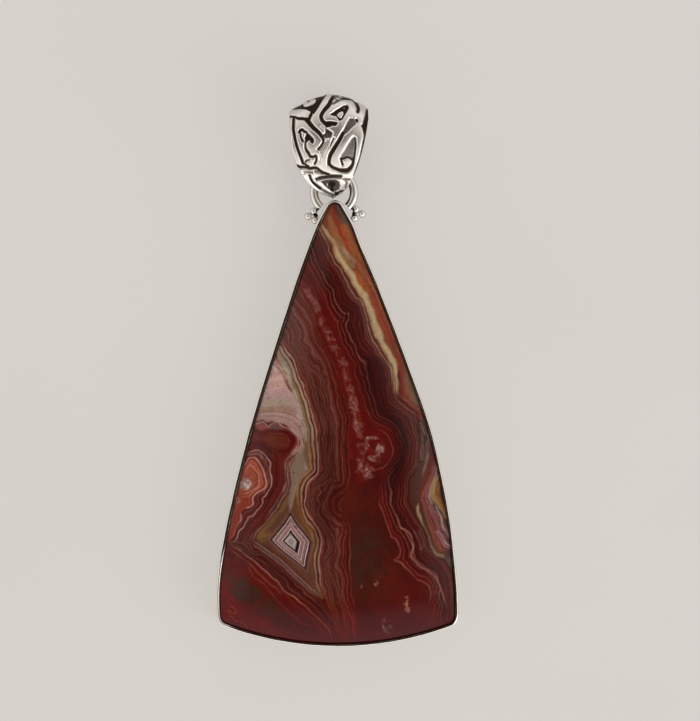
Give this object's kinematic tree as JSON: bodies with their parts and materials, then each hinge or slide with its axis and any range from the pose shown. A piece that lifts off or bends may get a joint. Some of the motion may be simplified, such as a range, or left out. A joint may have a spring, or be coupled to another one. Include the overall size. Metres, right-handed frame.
{
  "type": "crazy lace agate pendant",
  "caption": "Tall triangular crazy lace agate cabochon in a thin silver bezel, hung by a wire loop from a hollow scroll-banded bail that swings.",
  "frame": {"origin": "middle of the whole pendant's outline seen from the front, on the surface that it lies on", "axes": "+Z out of the stone's face, +Y from the stone towards the bail, +X across the pendant"},
  "size_m": [0.0303, 0.0691, 0.0085],
  "materials": {
    "agate": "polished banded chalcedony",
    "bright_silver": "polished sterling silver, dark in the seams",
    "plate_silver": "satin sterling silver sheet",
    "scroll_silver": "polished scrolls over oxidised recesses"
  },
  "bodies": {
    "pendant": {"stone": "agate", "bezel": "bright_silver", "back_plate": "plate_silver", "hanging_loop": "bright_silver", "granule_left_outer": "bright_silver", "granule_left_upper": "bright_silver", "granule_left_lower": "bright_silver", "granule_right_outer": "bright_silver", "granule_right_upper": "bright_silver", "granule_right_lower": "bright_silver"},
    "bail": {"bail": "scroll_silver"}
  },
  "joints": [
    {"name": "bail_swing", "type": "hinge", "parent": "pendant", "child": "bail", "pos_m": [-0.00056, 0.02355, 0.003], "axis": [0.9994, 0.0349, 0], "range_deg": [-68, 36]}
  ]
}
